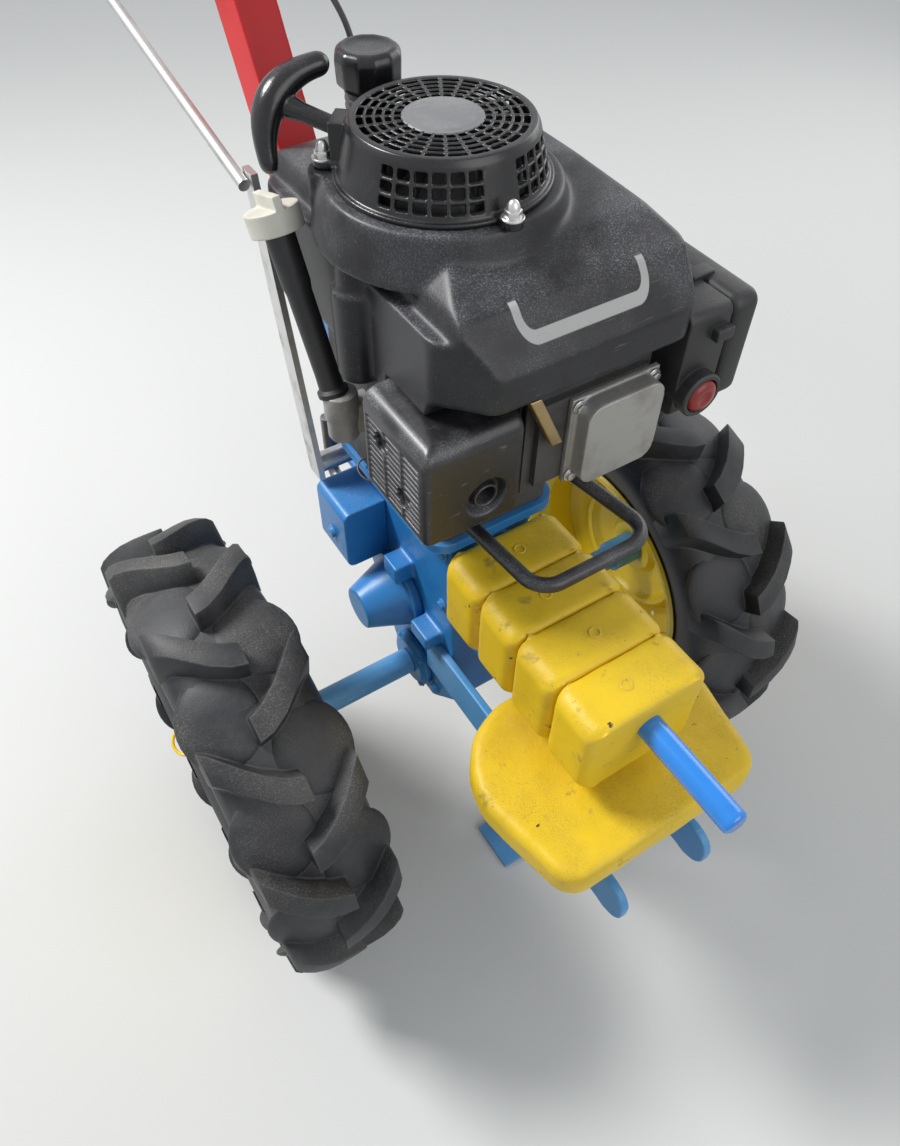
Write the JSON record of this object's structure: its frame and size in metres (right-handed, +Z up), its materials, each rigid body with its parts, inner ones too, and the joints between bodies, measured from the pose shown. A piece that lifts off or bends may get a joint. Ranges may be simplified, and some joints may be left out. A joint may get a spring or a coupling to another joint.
{
  "type": "walking tractor",
  "caption": "Two-wheel walking tractor with lugged tyres, a vertical-shaft engine on a gearbox, stacked front weights on a bar, and handlebars on a sloping column.",
  "frame": {"origin": "on the ground below the middle of the machine's bounding box", "axes": "+X to the machine's left side, +Y towards the handlebars' grips, +Z up; the front weights point along -Y and the wheels' axle lies along X"},
  "size_m": [0.738, 1.596, 1.1339],
  "materials": {
    "tyre": "matte black rubber, worn lugs",
    "rim_yellow": "yellow enamel",
    "blue_steel": "blue enamel",
    "blue_casting": "blue enamel over a sand casting",
    "bright_blue": "glossy blue enamel",
    "weight_yellow": "thick yellow enamel over a rough casting",
    "engine_metal": "die-cast aluminium",
    "black_plastic": "black moulded plastic, satin",
    "black_metal": "black heat-proof paint",
    "pale_plastic": "ivory plastic",
    "red_rubber": "red rubber",
    "red_steel": "red enamel",
    "grip_rubber": "black ribbed rubber",
    "bare_steel": "zinc-plated steel"
  },
  "bodies": {
    "machine": {"air_filter_housing": "black_plastic", "axle_bearing_left": "blue_steel", "axle_bearing_right": "blue_steel", "column_bracket": "blue_casting", "cylinder_head": "engine_metal", "engine_block": "engine_metal", "engine_deck": "engine_metal", "engine_shroud": "black_plastic", "exhaust_bracket": "bare_steel", "fan_cover": "black_plastic", "fan_nuts": "bare_steel", "front_socket": "blue_steel", "fuel_cap": "black_plastic", "gear_selector_box": "blue_casting", "gearbox_housing": "blue_casting", "guard_loop": "black_metal", "handlebar_column": "red_steel", "hitch_bracket": "blue_steel", "hitch_lock_bar": "blue_steel", "muffler_guard": "black_metal", "oil_filler_cap": "pale_plastic", "oil_filler_tube": "black_plastic", "primer_bulb": "red_rubber", "pto_cover": "blue_casting", "pull_handle": "black_plastic", "shift_lever": "bare_steel", "shift_rod": "bare_steel", "throttle_cable": "grip_rubber", "valve_cover": "engine_metal", "weight_bar": "bright_blue", "weight_block_1": "weight_yellow", "weight_block_2": "weight_yellow", "weight_block_3": "weight_yellow", "weight_block_4": "weight_yellow", "weight_carrier": "blue_steel", "weight_plate": "weight_yellow"},
    "wheel_left": {"tyre_left": "tyre", "rim_left": "rim_yellow", "hub_tube_left": "blue_steel"},
    "wheel_right": {"tyre_right": "tyre", "rim_right": "rim_yellow", "hub_tube_right": "blue_steel"},
    "handlebars": {"handlebar_head": "red_steel", "handlebar_tube_left": "red_steel", "handlebar_tube_right": "red_steel", "grip_left": "grip_rubber", "grip_right": "grip_rubber"},
    "stand": {"stand_leg": "blue_steel"}
  },
  "joints": [
    {"name": "wheel_left_spin", "type": "hinge", "parent": "machine", "child": "wheel_left", "pos_m": [0.298, -0.338, 0.285], "axis": [1, 0, 0], "continuous": true},
    {"name": "wheel_right_spin", "type": "hinge", "parent": "machine", "child": "wheel_right", "pos_m": [-0.298, -0.338, 0.285], "axis": [1, 0, 0], "continuous": true},
    {"name": "handlebar_tilt", "type": "hinge", "parent": "machine", "child": "handlebars", "pos_m": [0, 0.13808, 1.07062], "axis": [1, 0, 0], "range_deg": [-15, 25]},
    {"name": "stand_fold", "type": "hinge", "parent": "machine", "child": "stand", "pos_m": [0, -0.553, 0.352], "axis": [1, 0, 0], "range_deg": [-95, 0]}
  ]
}
